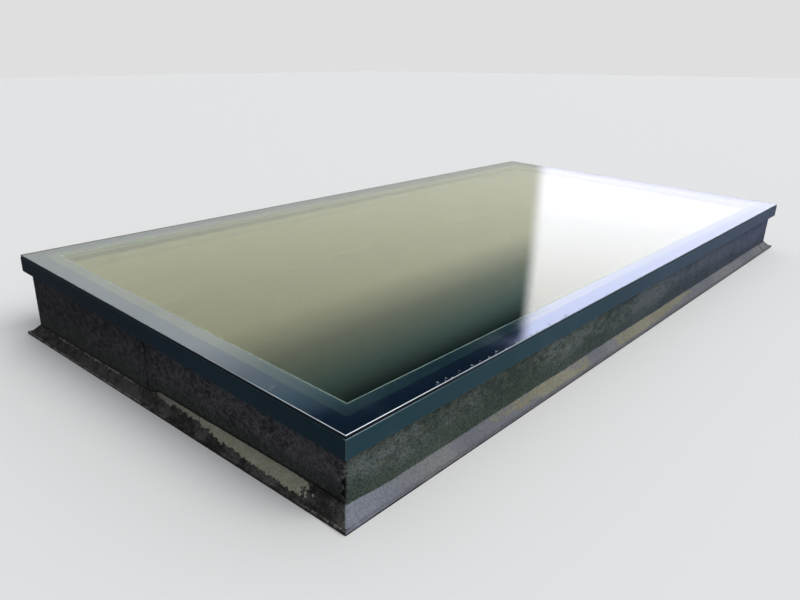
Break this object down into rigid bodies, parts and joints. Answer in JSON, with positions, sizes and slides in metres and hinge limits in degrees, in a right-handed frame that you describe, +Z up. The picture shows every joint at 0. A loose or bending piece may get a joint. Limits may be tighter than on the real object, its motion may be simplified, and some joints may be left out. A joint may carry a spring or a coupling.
{
  "type": "roof skylight",
  "caption": "Fixed flat roof skylight: a stepped double-glazed unit bonded on a thermally broken frame, on a timber kerb dressed in roofing felt.",
  "frame": {"origin": "middle of the kerb's foot, on the roof deck", "axes": "+X along the long side, +Y along the short side towards the back, +Z up"},
  "size_m": [3.21, 1.7114, 0.3079],
  "materials": {
    "outer_glass": "clear toughened glass, polished arrises",
    "inner_glass": "clear laminated glass with a soft coating",
    "black_enamel": "fired black border print",
    "bright_spacer": "bright satin",
    "black_sealant": "black silicone",
    "foam_gasket": "matt closed-cell gasket",
    "packer_plastic": "moulded",
    "powder_coat": "anthracite grey powder coat, fine satin texture",
    "polyamide": "black glass-filled polyamide",
    "mill_aluminium": "mill finish",
    "stainless_steel": "plain",
    "softwood": "sawn and regularised softwood",
    "underlay_felt": "smooth bitumen felt",
    "mineral_felt": "charcoal mineral felt, weathered"
  },
  "bodies": {
    "root": {"angle_fillet_back": "softwood", "angle_fillet_front": "softwood", "angle_fillet_left": "softwood", "angle_fillet_right": "softwood", "base_gasket": "foam_gasket", "bonding_seal": "black_sealant", "border_print": "black_enamel", "cap_sheet_back_1": "mineral_felt", "cap_sheet_back_2": "mineral_felt", "cap_sheet_back_3": "mineral_felt", "cap_sheet_back_4": "mineral_felt", "cap_sheet_front_1": "mineral_felt", "cap_sheet_front_2": "mineral_felt", "cap_sheet_front_3": "mineral_felt", "cap_sheet_front_4": "mineral_felt", "cap_sheet_left_1": "mineral_felt", "cap_sheet_left_2": "mineral_felt", "cap_sheet_right_1": "mineral_felt", "cap_sheet_right_2": "mineral_felt", "corner_braces": "mill_aluminium", "corner_cleats": "mill_aluminium", "corner_patch_back_left": "mineral_felt", "corner_patch_back_right": "mineral_felt", "corner_patch_front_left": "mineral_felt", "corner_patch_front_right": "mineral_felt", "edge_packers": "packer_plastic", "edge_seal": "black_sealant", "felt_underlay_back": "underlay_felt", "felt_underlay_front": "underlay_felt", "felt_underlay_left": "underlay_felt", "felt_underlay_right": "underlay_felt", "frame_inner_back": "powder_coat", "frame_inner_front": "powder_coat", "frame_inner_left": "powder_coat", "frame_inner_right": "powder_coat", "frame_outer_back": "powder_coat", "frame_outer_front": "powder_coat", "frame_outer_left": "powder_coat", "frame_outer_right": "powder_coat", "frame_screws": "stainless_steel", "glazing_tape": "black_sealant", "inner_pane": "inner_glass", "kerb_board_back": "softwood", "kerb_board_front": "softwood", "kerb_board_left": "softwood", "kerb_board_right": "softwood", "outer_pane": "outer_glass", "spacer_bar": "bright_spacer", "thermal_break_back": "polyamide", "thermal_break_front": "polyamide", "thermal_break_left": "polyamide", "thermal_break_right": "polyamide", "weather_seal": "black_sealant"}
  },
  "joints": []
}
